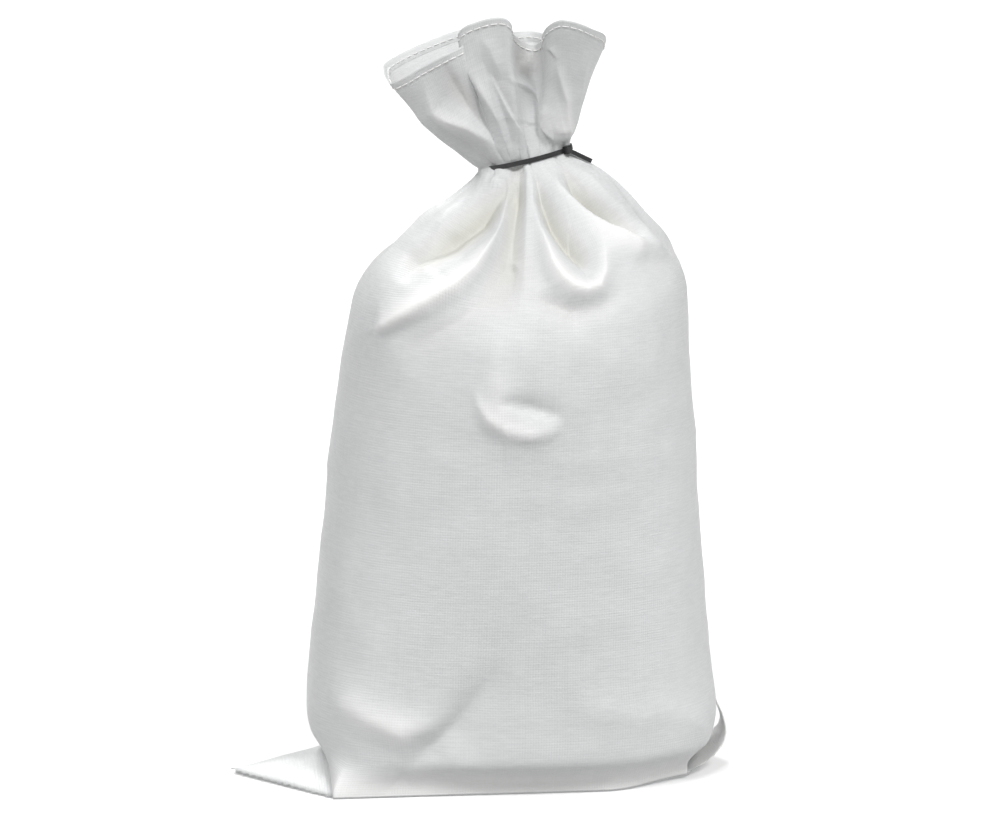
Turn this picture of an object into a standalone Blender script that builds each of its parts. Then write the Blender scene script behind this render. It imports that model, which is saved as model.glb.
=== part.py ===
"""A full woven sack, 55 x 95 cm laid flat, standing on its sewn bottom with a cable tie round its neck.

Metres, +Z up. The origin is on the floor under the middle of the body. The broad face looks towards -Y,
and the corner that lies out on the floor points towards -X.
"""

import math

import bmesh
import bpy
from mathutils import Matrix, Vector, noise

# The body, from the floor up: height, middle across, half width, half depth, squareness of the section.
# The cloth runs once round it, about 1.1 m, so the body is deeper where it is narrower.
BODY_STATIONS = (
    (0.000, -0.004, 0.190, 0.095, 3.8),
    (0.010, -0.004, 0.200, 0.110, 3.2),
    (0.030, -0.002, 0.206, 0.125, 2.8),
    (0.072, -0.001, 0.2120, 0.136, 2.4),
    (0.125, -0.002, 0.2075, 0.142, 2.25),
    (0.180, -0.001, 0.2010, 0.147, 2.2),
    (0.285, 0.001, 0.1915, 0.156, 2.1),
    (0.388, 0.003, 0.1815, 0.164, 2.1),
    (0.455, 0.006, 0.1745, 0.165, 2.1),
    (0.492, 0.009, 0.1700, 0.158, 2.1),
    (0.512, 0.0125, 0.1655, 0.148, 2.1),
    (0.532, 0.0155, 0.1555, 0.134, 2.1),
    (0.553, 0.0185, 0.1370, 0.116, 2.1),
    (0.573, 0.0200, 0.1150, 0.094, 2.0),
    (0.594, 0.0185, 0.0915, 0.070, 2.0),
    (0.618, 0.0155, 0.0630, 0.043, 2.0),
    (0.637, 0.0142, 0.0470, 0.0300, 2.0),
)
FLOOR_LEVELS = (0.0, 0.005, 0.010, 0.018, 0.028, 0.038, 0.052)
LEVEL_SPACING = (  # height, distance between the levels there: close together on the shoulders
    (0.052, 0.020),
    (0.120, 0.036),
    (0.320, 0.036),
    (0.370, 0.014),
    (0.500, 0.0092),
    (0.637, 0.0075),
)

# The neck, where the tie holds it, and the tie's lean: its right side is the higher one.
NECK_CENTRE = Vector((0.0142, 0.0, 0.637))
NECK_HALF_WIDTH = 0.0470
NECK_HALF_DEPTH = 0.0300
NECK_HALF_HEIGHT = 0.0040
NECK_LEAN = math.radians(13.0)
LEAN_FADES_OVER = 0.060

# The open mouth above the tie: direction in degrees (-90 is the front), reach from MOUTH_CENTRE, and the
# height of the rim there.
MOUTH_CENTRE = Vector((0.012, 0.0, 0.0))
RIM_POINTS = (
    (-178, 0.140, 0.719),  # left corner
    (-170, 0.134, 0.711),  # left lobe, hanging lowest
    (-158, 0.111, 0.730),
    (-147, 0.087, 0.750),  # pleat between the left and the middle lobe
    (-133, 0.089, 0.769),  # middle lobe
    (-116, 0.081, 0.780),
    (-105, 0.069, 0.774),
    (-87, 0.036, 0.758),  # deep pleat
    (-71, 0.064, 0.768),  # right lobe
    (-58, 0.078, 0.777),
    (-42, 0.080, 0.772),
    (-14, 0.083, 0.758),  # right corner
    (8, 0.074, 0.754),
    (28, 0.060, 0.752),
    (50, 0.078, 0.757),  # back right lobe
    (68, 0.072, 0.758),
    (86, 0.054, 0.756),
    (108, 0.078, 0.762),  # back middle lobe
    (126, 0.078, 0.754),
    (140, 0.094, 0.746),
    (155, 0.113, 0.739),  # back left lobe
    (170, 0.132, 0.729),
)
MOUTH_HEIGHT = max(point[2] for point in RIM_POINTS) - NECK_CENTRE.z
MOUTH_LEVELS = 6
MOUTH_WALL = 0.0050
THROAT_SHARE = 0.34  # how far up from the tie the mouth's bottom lies
FLARE = 1.0
FLARE_LEAN = 0.15  # the left side swells out early, the right side late
HEM_WIDTH = 0.011
HEM_STEP = 0.0010
HEM_EDGE = 0.0006

# The photograph's camera. It turns a place on the sack into a column and a row of the 1000 x 833 frame.
PHOTO_WIDTH = 1000
PHOTO_HEIGHT = 833
FOCAL_PIXELS = 3980.0
ORIGIN_COLUMN = 512.0
CAMERA_AZIMUTH = math.radians(-6.0)
CAMERA_PITCH = math.radians(10.47)
CAMERA_DISTANCE = 4.0
CAMERA_HEIGHT = 1.11
FACING_SHARE = 0.30  # the front folds fade out where the cloth turns further from the camera than this

# Folds on the body's front. Each is: how far it spreads to the left and to the right of its line (pixels,
# about a millimetre each), and its line, as columns and rows of the photograph with the fold's height in
# millimetres. Left and right are those of someone walking along the line; a valley's height is negative.
FRONT_FOLDS = (
    # left shoulder: outer crest, deep valley, long crest out to the left, and the valley under that
    (9, 14, ((505, 168, 1), (491, 184, 4), (461, 203, 5), (445, 215, 5), (428, 242, 4), (412, 262, 1))),
    (24, 12, ((508, 176, -4), (503, 190, -15), (478, 212, -22), (447, 234, -20), (415, 257, -10),
              (400, 285, -1))),
    (11, 24, ((507, 173, 4), (505, 199, 12), (502, 218, 15), (497, 236, 17), (489, 252, 18),
              (477, 272, 19), (456, 292, 18), (428, 309, 15), (404, 322, 11), (379, 333, 5))),
    (20, 12, ((510, 230, 0), (505, 262, -5), (487, 296, -8), (458, 320, -8), (420, 340, -6),
              (392, 349, -1))),
    # middle: two soft pleats that run down from the tie
    (9, 9, ((519, 172, -5), (516, 200, -7), (512, 236, -5), (513, 268, -3), (512, 300, 0))),
    (9, 9, ((527, 172, 4), (526, 200, 5), (526, 232, 5), (524, 270, 3), (526, 330, 0))),
    # the hanging loop right of the middle: its rim, the valley inside it and the one under it
    (14, 12, ((533, 170, 4), (533, 200, 7), (539, 222, 9), (545, 243, 11), (552, 266, 13), (561, 281, 15),
              (572, 290, 15), (584, 293, 14), (597, 288, 12), (603, 272, 9), (603, 252, 6), (597, 236, 2))),
    (13, 13, ((538, 176, -5), (546, 200, -11), (557, 222, -14), (570, 240, -14), (581, 253, -11),
              (590, 264, -4))),
    (10, 20, ((520, 300, 0), (545, 300, -5), (572, 308, -7), (600, 305, -6), (622, 290, -1))),
    # right shoulder: shelf, the valley above it, the outer crest, and the dip under the shelf
    (9, 13, ((553, 176, 4), (560, 190, 9), (574, 203, 11), (590, 219, 13), (605, 230, 14), (622, 238, 15),
             (638, 246, 12), (651, 249, 5))),
    (9, 10, ((566, 174, -5), (577, 190, -13), (593, 205, -18), (612, 219, -18), (630, 229, -12),
             (646, 236, -3))),
    (10, 7, ((573, 164, 2), (590, 178, 4), (607, 195, 5), (626, 212, 5), (646, 230, 4), (662, 250, 1))),
    (7, 14, ((615, 252, 0), (640, 262, -4), (662, 262, -3), (676, 254, 0))),
    # the crescent high on the belly
    (12, 22, ((470, 398, 0), (482, 409, 4), (495, 426, 7), (513, 436, 8), (535, 438, 7), (560, 430, 1))),
    # near the floor: the left corner's ridge and hollow
    (24, 20, ((326, 690, 0), (345, 704, 5), (372, 718, 8), (402, 730, 9), (432, 725, 7), (458, 712, 2))),
    (26, 16, ((505, 668, -1), (478, 700, -6), (452, 728, -10), (428, 750, -9), (405, 772, -3))),
)

# Folds on the body's sides and back, in the same way, with lines of: degrees round from the front's middle
# towards the right, height above the floor in millimetres, and the fold's height in millimetres.
ROUND_FOLDS = (
    (13, 13, ((62, 628, -5), (70, 600, -10), (78, 566, -9), (84, 530, -2))),
    (13, 11, ((82, 626, 4), (86, 596, 7), (94, 560, 7), (104, 520, 2))),
    (16, 14, ((104, 628, -6), (112, 596, -12), (118, 556, -10), (116, 512, -2))),
    (12, 16, ((128, 626, 5), (132, 590, 9), (142, 548, 9), (158, 508, 3))),
    (14, 14, ((146, 628, -6), (152, 590, -12), (150, 552, -10), (140, 522, -2))),
    (12, 12, ((170, 626, 4), (172, 590, 8), (170, 545, 8), (178, 480, 1))),
    (16, 15, ((190, 628, -6), (192, 596, -13), (198, 552, -11), (214, 512, -2))),
    (13, 16, ((214, 626, 5), (216, 592, 9), (226, 548, 10), (250, 515, 3))),
    (14, 13, ((234, 628, -5), (240, 598, -10), (252, 566, -8), (268, 540, -1))),
    (12, 12, ((258, 626, 4), (266, 596, 7), (274, 560, 7), (276, 520, 2))),
    (13, 13, ((284, 628, -5), (288, 596, -9), (290, 560, -7), (290, 524, -1))),
    (18, 12, ((120, 418, 0), (140, 404, 5), (165, 398, 6), (196, 408, 4), (214, 420, 0))),
    (24, 20, ((130, 20, 0), (145, 55, 6), (160, 80, 7), (182, 74, 6), (200, 60, 0))),
    (22, 20, ((205, 120, -1), (214, 70, -7), (226, 36, -4))),
)
ROUND_SCALE = 175.0  # millimetres round the body for each radian

# Folds on the front of the open mouth, as on the body's front.
MOUTH_FOLDS = (
    (10, 15, ((421, 72, 0), (427, 92, 5), (434, 111, 10), (447, 117, 12), (466, 124, 11), (485, 137, 8),
              (502, 152, 2))),
    (9, 8, ((462, 44, 4), (472, 71, 8), (485, 95, 10), (498, 120, 7), (506, 146, 3))),
    (14, 8, ((513, 83, 1), (534, 94.5, 6), (544, 113, 8), (543, 128, 7), (557, 147, 2))),
)

PEAK = 1.35  # shapes a fold across: 2 is a soft swell, 1 a sharp crease
SLOPE_STEP = 0.004
FOLD_FADES_OVER = 0.011
FLOOR_ROOM = 0.020
SWELL = 0.0030
SWELL_SIZE = 0.11
SWELL_OFFSET = 17.3

# The corners of the flat sack. The left one lies out on the floor, the right one is folded up against the
# side.
LEFT_EAR_TIP = 0.293
LEFT_EAR_BASE = 0.180
LEFT_EAR_HALF_BASE = 0.092
LEFT_EAR_THICK = 0.007
LEFT_EAR_HEIGHT = 0.028
LEFT_EAR_CREST = 0.8  # below 1, the crest between the tip and the body hangs in
LEFT_EAR_TOP_SHARE = 0.45
LEFT_EAR_TURN = math.radians(80.0)
RIGHT_EAR_REACH = 0.020
RIGHT_EAR_HEIGHT = 0.037
RIGHT_EAR_SPREAD = 0.028
RIGHT_EAR_HALF_ANGLE = math.radians(17.0)
CORNER_SHARPNESS = 14.0

# The body's foot is drawn in at its right end, mostly at the front.
FOOT_DRAWN_FROM = 0.085
FOOT_DRAWN_OVER = 0.105
FOOT_FRONT_PULL = 0.42
FOOT_BACK_PULL = 0.20
FOOT_HEIGHT = 0.040

# The sewn bottom seam runs in a shallow channel under the sack, just behind the middle.
SEAM_Y = 0.014
SEAM_ENDS = (-0.280, 0.178)
CHANNEL_WIDTH = 0.008
CHANNEL_DEPTH = 0.0028
CHANNEL_RUNS_PAST = 0.014
THREAD_RADIUS = 0.0006
THREAD_GAP = 0.0005

# The cable tie.
STRAP_WIDTH = 0.0048
STRAP_THICK = 0.0013
TIE_GAP = 0.0004
HEAD_SIZE = Vector((0.0078, 0.0066, 0.0082))
HEAD_EDGE = 0.0009
HEAD_SITS_OUT = 0.0024
HEAD_ANGLE = math.radians(-36.0)
TAIL_WIDTH = 0.0043
TAIL_LENGTH = 0.029
TAIL_DROP = math.radians(38.0)
TAIL_TURN = math.radians(-24.0)

AROUND = 96
CREASE = math.radians(50.0)
THREAD_COLOUR = (0.86, 0.86, 0.84)

ACROSS = Vector((math.cos(CAMERA_AZIMUTH), math.sin(CAMERA_AZIMUTH), 0.0))
TOWARD = Vector((math.sin(CAMERA_AZIMUTH), -math.cos(CAMERA_AZIMUTH), 0.0))
FORWARD = -TOWARD * math.cos(CAMERA_PITCH) - Vector((0.0, 0.0, math.sin(CAMERA_PITCH)))
UPWARD = ACROSS.cross(FORWARD)
SIDESTEP = (PHOTO_WIDTH / 2 - ORIGIN_COLUMN) / FOCAL_PIXELS * CAMERA_DISTANCE * math.cos(CAMERA_PITCH)
EYE = TOWARD * CAMERA_DISTANCE + ACROSS * SIDESTEP + Vector((0.0, 0.0, CAMERA_HEIGHT))


def between(low, high, share):
    """The value that lies this share of the way from low to high."""
    return low + (high - low) * share


def ease(share):
    """0 to 1 with a flat start and a flat end."""
    share = min(1.0, max(0.0, share))
    return share * share * (3.0 - 2.0 * share)


def spline(points, at, period=None):
    """The other values of points, whose first value is where each lies, on a smooth curve at one place."""
    count = len(points)
    if period is None:
        at = min(max(at, points[0][0]), points[-1][0])
    else:
        at = points[0][0] + (at - points[0][0]) % period

    def point(index):
        if period is None:
            return points[min(max(index, 0), count - 1)]
        turns, within = divmod(index, count)
        return (points[within][0] + turns * period, *points[within][1:])

    start = max(i for i in range(count) if points[i][0] <= at + 1e-12)
    if period is None:
        start = min(start, count - 2)
    before, low, high, after = (point(start + step) for step in (-1, 0, 1, 2))
    gap = high[0] - low[0]
    share = (at - low[0]) / gap
    values = []
    for column in range(1, len(low)):
        slope_low = (high[column] - before[column]) / (high[0] - before[0]) * gap
        slope_high = (after[column] - low[column]) / (after[0] - low[0]) * gap
        square, cube = share**2, share**3
        values.append(
            low[column] * (2 * cube - 3 * square + 1)
            + slope_low * (cube - 2 * square + share)
            + high[column] * (3 * square - 2 * cube)
            + slope_high * (cube - square)
        )
    return values


def squircle(half_width, half_depth, squareness, angle):
    """The reach of a rounded section in one direction; squareness 2 is an ellipse."""
    across = abs(math.cos(angle)) / half_width
    deep = abs(math.sin(angle)) / half_depth
    return (across**squareness + deep**squareness) ** (-1.0 / squareness)


def turn_between(angle, other):
    """The angle from other to angle, from minus half a turn to half a turn."""
    return (angle - other + math.pi) % (2.0 * math.pi) - math.pi


def outwards(angle):
    return Vector((math.cos(angle), math.sin(angle), 0.0))


def left_ear_reach(angle, height):
    """How far the left corner reaches in this direction, or 0 beside it. In plan it is a triangle."""
    side = abs(turn_between(angle, math.pi))
    if side > LEFT_EAR_TURN or height > LEFT_EAR_HEIGHT:
        return 0.0
    up = max(0.0, height - LEFT_EAR_THICK) / (LEFT_EAR_HEIGHT - LEFT_EAR_THICK)
    tip = between(LEFT_EAR_TIP, LEFT_EAR_BASE, up**LEFT_EAR_CREST)
    half_base = LEFT_EAR_HALF_BASE * between(1.0, LEFT_EAR_TOP_SHARE, up)
    slope = half_base / (LEFT_EAR_TIP - LEFT_EAR_BASE)
    edge = tip * slope / (math.cos(side) * slope + math.sin(side))
    return min(edge, half_base / max(math.sin(side), 1e-6))


def right_ear_step(angle, height):
    """How much the folded right corner stands out of the side."""
    side = turn_between(angle, 0.0) / RIGHT_EAR_HALF_ANGLE
    up = (height - RIGHT_EAR_HEIGHT) / RIGHT_EAR_SPREAD
    return RIGHT_EAR_REACH * math.exp(-(side**4)) * math.exp(-(up**4))


def seen(point):
    """Column and row of a point in the photograph's frame."""
    offset = point - EYE
    depth = offset.dot(FORWARD)
    column = PHOTO_WIDTH / 2 + FOCAL_PIXELS * offset.dot(ACROSS) / depth
    row = PHOTO_HEIGHT / 2 - FOCAL_PIXELS * offset.dot(UPWARD) / depth
    return column, row


def fold_height(place, fold):
    """Height of one fold at a place, in the millimetres of its line."""
    left, right, line = fold
    nearest, height, side = math.inf, 0.0, 0.0
    for start, end in zip(line, line[1:]):
        step = (end[0] - start[0], end[1] - start[1])
        offset = (place[0] - start[0], place[1] - start[1])
        share = (offset[0] * step[0] + offset[1] * step[1]) / (step[0] ** 2 + step[1] ** 2)
        share = min(1.0, max(0.0, share))
        distance = math.hypot(offset[0] - share * step[0], offset[1] - share * step[1])
        if distance < nearest:
            nearest, height = distance, between(start[2], end[2], share)
            side = step[1] * offset[0] - step[0] * offset[1]
    return height * math.exp(-((nearest / (left if side > 0.0 else right)) ** PEAK))


def facing(angle):
    """1 where the cloth looks towards the camera, 0 on the sides and the back."""
    return ease(outwards(angle).dot(TOWARD) / FACING_SHARE)


def body_rise(place, angle, around):
    """How far the folds lift the body's cloth at a place; around is its share of the way round."""
    front = facing(angle)
    rise = 0.0
    if front > 0.0:
        spot = seen(leaned(place))
        rise += front * sum(fold_height(spot, fold) for fold in FRONT_FOLDS)
    if front < 1.0:
        spot = (math.tau * around * ROUND_SCALE, -1000.0 * place.z)
        for left, right, line in ROUND_FOLDS:
            unrolled = [(math.radians(turn) * ROUND_SCALE, -height, lift) for turn, height, lift in line]
            rise += (1.0 - front) * fold_height(spot, (left, right, unrolled))
    swell = noise.noise(place / SWELL_SIZE + Vector((SWELL_OFFSET,) * 3))
    rise = rise / 1000.0 + SWELL * swell
    below_tie = NECK_CENTRE.z - NECK_HALF_HEIGHT - place.z
    return rise * ease(below_tie / FOLD_FADES_OVER) * ease(place.z / FLOOR_ROOM)


def mouth_rise(place, angle, share):
    """How far the folds lift the mouth's cloth at a place, this share of the way up to the rim."""
    spot = seen(place)
    rise = sum(fold_height(spot, fold) for fold in MOUTH_FOLDS) / 1000.0
    return rise * facing(angle) * ease(share * MOUTH_HEIGHT / FOLD_FADES_OVER)


def leaned(point):
    """The point turned with the tie's lean, which is full at the tie and fades away from it."""
    away = abs(point.z - NECK_CENTRE.z) - NECK_HALF_HEIGHT
    share = 1.0 - ease(away / LEAN_FADES_OVER)
    turn = Matrix.Rotation(-NECK_LEAN * share, 3, "Y")
    return NECK_CENTRE + turn @ (point - NECK_CENTRE)


def directions():
    return [2.0 * math.pi * i / AROUND for i in range(AROUND)]


def body_section(height):
    """The plain section of the filled body at one height: a reach for every direction, and the middle."""
    middle, half_width, half_depth, squareness = spline(BODY_STATIONS, height)
    reaches = [squircle(half_width, half_depth, squareness, angle) for angle in directions()]
    return reaches, Vector((middle, 0.0, height))


def shares_round(reaches):
    """For every direction, its share of the way round the section from the front's middle to the right."""
    points = [outwards(angle) * reach for angle, reach in zip(directions(), reaches)]
    front = AROUND * 3 // 4
    shares, length = [0.0] * AROUND, 0.0
    for i in range(AROUND):
        shares[(front + i) % AROUND] = length
        length += (points[(front + i + 1) % AROUND] - points[(front + i) % AROUND]).length
    return [share / length for share in shares]


def foot_drawn(point):
    """The point with the foot of the body drawn in at its right end."""
    share = ease((point.x - FOOT_DRAWN_FROM) / FOOT_DRAWN_OVER) * (1.0 - ease(point.z / FOOT_HEIGHT))
    pull = FOOT_FRONT_PULL if point.y < 0.0 else FOOT_BACK_PULL
    return Vector((point.x, point.y * (1.0 - pull * share), point.z))


def body_ring(height):
    """The section of the filled body at one height, with its folds and its two corners."""
    reaches, middle = body_section(height)
    lower, upper = (body_section(height + side * SLOPE_STEP)[0] for side in (-1.0, 1.0))
    ring = []
    for i, (angle, around) in enumerate(zip(directions(), shares_round(reaches))):
        slope = (upper[i] - lower[i]) / (2.0 * SLOPE_STEP)
        square = (outwards(angle) - Vector((0.0, 0.0, slope))).normalized()
        rise = body_rise(middle + outwards(angle) * reaches[i], angle, around)
        reach = reaches[i] + right_ear_step(angle, height)
        ear = left_ear_reach(angle, height)
        if ear > 0.0:
            powers = reach**CORNER_SHARPNESS + ear**CORNER_SHARPNESS
            reach = powers ** (1.0 / CORNER_SHARPNESS)
        ring.append(leaned(foot_drawn(middle + outwards(angle) * reach + square * rise)))
    return ring


def body_heights():
    """Heights of the body's sections, close together at the floor and at the shoulders."""
    heights = list(FLOOR_LEVELS)
    top = NECK_CENTRE.z - NECK_HALF_HEIGHT - LEVEL_SPACING[-1][1] / 2.0
    while heights[-1] < top:
        heights.append(heights[-1] + spline(LEVEL_SPACING, heights[-1])[0])
    count = len(FLOOR_LEVELS) - 1
    stretch = (top - heights[count]) / (heights[-1] - heights[count])
    return heights[:count] + [heights[count] + (h - heights[count]) * stretch for h in heights[count:]]


def neck_point(angle):
    return NECK_CENTRE + Vector(
        (NECK_HALF_WIDTH * math.cos(angle), NECK_HALF_DEPTH * math.sin(angle), 0.0)
    )


def neck_ring(offset):
    """The neck's ellipse, this far above the middle of the strap."""
    return [leaned(neck_point(angle) + Vector((0.0, 0.0, offset))) for angle in directions()]


def mouth_ring(share, step=0.0):
    """The mouth's section this share of the way from the tie up to the rim, moved outwards by step."""
    ring = []
    for angle in directions():
        reach, top = spline(RIM_POINTS, math.degrees(angle), 360.0)
        rim = MOUTH_CENTRE + outwards(angle) * reach
        flare = share ** (FLARE + FLARE_LEAN * math.cos(angle))
        place = neck_point(angle).lerp(rim, flare)
        place.z = between(NECK_CENTRE.z + NECK_HALF_HEIGHT, top, share)
        place = leaned(place)
        ring.append(place + outwards(angle) * (step + mouth_rise(place, angle, share)))
    return ring


def sack_rings():
    """Every section of the sack: up the outside, over the rim and down inside the mouth."""
    rings = [body_ring(height) for height in body_heights()]
    rings += [neck_ring(side * NECK_HALF_HEIGHT) for side in (-1.0, 1.0)]
    hem_starts = 1.0 - HEM_WIDTH / MOUTH_HEIGHT
    rings += [mouth_ring(hem_starts * i / MOUTH_LEVELS) for i in range(1, MOUTH_LEVELS + 1)]
    rings.append(mouth_ring(hem_starts + HEM_EDGE / MOUTH_HEIGHT, HEM_STEP))
    rings.append(mouth_ring(1.0, HEM_STEP))
    rings.append(mouth_ring(1.0, HEM_STEP - MOUTH_WALL))
    inside = MOUTH_LEVELS - 2
    for i in range(1, inside + 1):
        rings.append(mouth_ring(between(1.0, THROAT_SHARE, i / inside), -MOUTH_WALL))
    return rings


def lofted(name, rings):
    """One closed solid through the rings, with a flat cap on the first and on the last."""
    shape = bmesh.new()
    rows = [[shape.verts.new(point) for point in ring] for ring in rings]
    for low, high in zip(rows, rows[1:]):
        for i in range(AROUND):
            following = (i + 1) % AROUND
            shape.faces.new((low[i], low[following], high[following], high[i]))
    for row in (rows[0], rows[-1]):
        middle = shape.verts.new(sum((vert.co for vert in row), Vector()) / AROUND)
        for i in range(AROUND):
            shape.faces.new((row[i - 1], row[i], middle))
    bmesh.ops.recalc_face_normals(shape, faces=shape.faces)
    mesh = bpy.data.meshes.new(name)
    shape.to_mesh(mesh)
    shape.free()
    mesh.shade_smooth()
    mesh.set_sharp_from_angle(angle=CREASE)
    return bpy.data.objects.new(name, mesh)


def mesh_from(curve_object):
    """A mesh object made of a curve object, with its caps welded on; the curve is removed."""
    evaluated = curve_object.evaluated_get(bpy.context.evaluated_depsgraph_get())
    mesh = bpy.data.meshes.new_from_object(evaluated)
    shape = bmesh.new()
    shape.from_mesh(mesh)
    bmesh.ops.remove_doubles(shape, verts=shape.verts, dist=1e-6)
    bmesh.ops.recalc_face_normals(shape, faces=shape.faces)
    shape.to_mesh(mesh)
    shape.free()
    made = bpy.data.objects.new(curve_object.name + "_mesh", mesh)
    made.matrix_world = curve_object.matrix_world
    bpy.data.objects.remove(curve_object)
    return made


def poly_curve(name, lines, dimensions="3D", cyclic=True):
    """A curve object of straight-sided splines."""
    curve = bpy.data.curves.new(name, "CURVE")
    curve.dimensions = dimensions
    for line in lines:
        made = curve.splines.new("POLY")
        made.points.add(len(line) - 1)
        for point, place in zip(made.points, line):
            point.co = (*place, 1.0)
        made.use_cyclic_u = cyclic
    return bpy.data.objects.new(name, curve)


def box_mesh(name, size):
    """A box about its own middle."""
    shape = bmesh.new()
    bmesh.ops.create_cube(shape, size=1.0)
    bmesh.ops.scale(shape, vec=size, verts=shape.verts)
    mesh = bpy.data.meshes.new(name)
    shape.to_mesh(mesh)
    shape.free()
    return bpy.data.objects.new(name, mesh)


def plain_material(name, colour, roughness):
    material = bpy.data.materials.new(name)
    material.use_nodes = True
    shader = material.node_tree.nodes["Principled BSDF"]
    shader.inputs["Base Color"].default_value = (*colour, 1.0)
    shader.inputs["Roughness"].default_value = roughness
    shader.inputs["Metallic"].default_value = 0.0
    return material


def boolean(target, other, operation):
    modifier = target.modifiers.new(operation.lower(), "BOOLEAN")
    modifier.operation = operation
    modifier.object = other


def hide_cutter(cutter, collection):
    collection.objects.link(cutter)
    cutter.hide_render = True
    cutter.display_type = "WIRE"


def make_sack(parts, cutters):
    """The filled sack, with the channel that its folded and sewn bottom leaves."""
    sack = lofted("sack", sack_rings())
    parts.objects.link(sack)
    start, end = SEAM_ENDS[0] - CHANNEL_RUNS_PAST, SEAM_ENDS[1] + CHANNEL_RUNS_PAST
    channel = box_mesh("seam_channel", (end - start, CHANNEL_WIDTH, 2.0 * CHANNEL_DEPTH))
    channel.location = ((start + end) / 2.0, SEAM_Y, 0.0)
    hide_cutter(channel, cutters)
    boolean(sack, channel, "DIFFERENCE")
    sack.data.materials.append(plain_material("woven_cloth", (0.80, 0.80, 0.78), 0.42))


def make_thread(parts, name, line, cyclic, resolution):
    thread = poly_curve(name, [line], cyclic=cyclic)
    thread.data.bevel_depth = THREAD_RADIUS
    thread.data.bevel_resolution = resolution
    thread.data.use_fill_caps = True
    parts.objects.link(thread)
    thread.data.materials.append(plain_material(name, THREAD_COLOUR, 0.6))


def make_bottom_thread(parts):
    line = [(x, SEAM_Y, CHANNEL_DEPTH / 2.0) for x in SEAM_ENDS]
    make_thread(parts, "bottom_seam_thread", line, cyclic=False, resolution=2)


def make_hem_thread(parts):
    """The thread that holds the hem, lying on its outside, halfway down it."""
    ring = mouth_ring(1.0 - 0.5 * HEM_WIDTH / MOUTH_HEIGHT, HEM_STEP)
    above = mouth_ring(1.0, HEM_STEP)
    line = []
    for i, place in enumerate(ring):
        along = ring[(i + 1) % AROUND] - ring[i - 1]
        normal = along.cross(above[i] - place).normalized()
        line.append(place + normal * (THREAD_RADIUS + THREAD_GAP))
    make_thread(parts, "hem_thread", line, cyclic=True, resolution=1)


def make_band(cutters):
    """The strap, bent into an oval round the neck, as a mesh."""
    outlines = []
    for step in (TIE_GAP + STRAP_THICK, TIE_GAP):
        wide, deep = NECK_HALF_WIDTH + step, NECK_HALF_DEPTH + step
        outlines.append([(wide * math.cos(a), deep * math.sin(a), 0.0) for a in directions()])
    band = poly_curve("cable_tie_band", outlines, "2D")
    band.data.fill_mode = "BOTH"
    band.data.extrude = STRAP_WIDTH / 2.0
    cutters.objects.link(band)
    bpy.context.view_layer.update()
    return mesh_from(band)


def make_tie(parts, cutters):
    """The cable tie: its strap round the neck, its head, and the tail that comes out of the head."""
    lean = Matrix.Translation(NECK_CENTRE) @ Matrix.Rotation(-NECK_LEAN, 4, "Y")
    tie = make_band(cutters)
    tie.name = "cable_tie"
    tie.data.name = "cable_tie"
    tie.matrix_world = lean
    parts.objects.link(tie)

    out = TIE_GAP + STRAP_THICK + HEAD_SITS_OUT
    wide, deep = NECK_HALF_WIDTH + out, NECK_HALF_DEPTH + out
    place = Vector((wide * math.cos(HEAD_ANGLE), deep * math.sin(HEAD_ANGLE), 0.0))
    along = math.atan2(deep * math.cos(HEAD_ANGLE), -wide * math.sin(HEAD_ANGLE))
    head = box_mesh("cable_tie_head", HEAD_SIZE)
    edges = head.modifiers.new("edges", "BEVEL")
    edges.width = HEAD_EDGE
    edges.segments = 2
    head.matrix_world = lean @ Matrix.Translation(place) @ Matrix.Rotation(along, 4, "Z")
    tail = box_mesh("cable_tie_tail", (TAIL_LENGTH, STRAP_THICK, TAIL_WIDTH))
    turned = Matrix.Rotation(TAIL_TURN, 4, "Z") @ Matrix.Rotation(TAIL_DROP, 4, "Y")
    shifted = Matrix.Translation((TAIL_LENGTH / 2.0, 0.0, 0.0))
    tail.matrix_world = head.matrix_world @ turned @ shifted
    for piece in (head, tail):
        hide_cutter(piece, cutters)
        boolean(tie, piece, "UNION")
    tie.data.materials.append(plain_material("black_nylon", (0.02, 0.02, 0.022), 0.45))


def main():
    for old in list(bpy.data.objects):
        bpy.data.objects.remove(old)
    parts = bpy.data.collections.new("tied_sack")
    cutters = bpy.data.collections.new("cutters")
    for collection in (parts, cutters):
        bpy.context.scene.collection.children.link(collection)
    make_sack(parts, cutters)
    make_bottom_thread(parts)
    make_hem_thread(parts)
    make_tie(parts, cutters)


main()
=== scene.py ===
"""The looks of a full woven sack with a cable tie round its neck.

Metres, +Z up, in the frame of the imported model. The cloth is one sheet on a grid. Its columns run once round
the sack from the middle of its front. Its rows run from the sewn bottom, over the floor edge, up the body,
through the tie and out to the hem. Its folds are laid along lines chosen in the photograph, whose frame is
1000 x 833.
"""

import math

import bpy
import numpy as np
from mathutils import Matrix, Vector, noise


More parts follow.
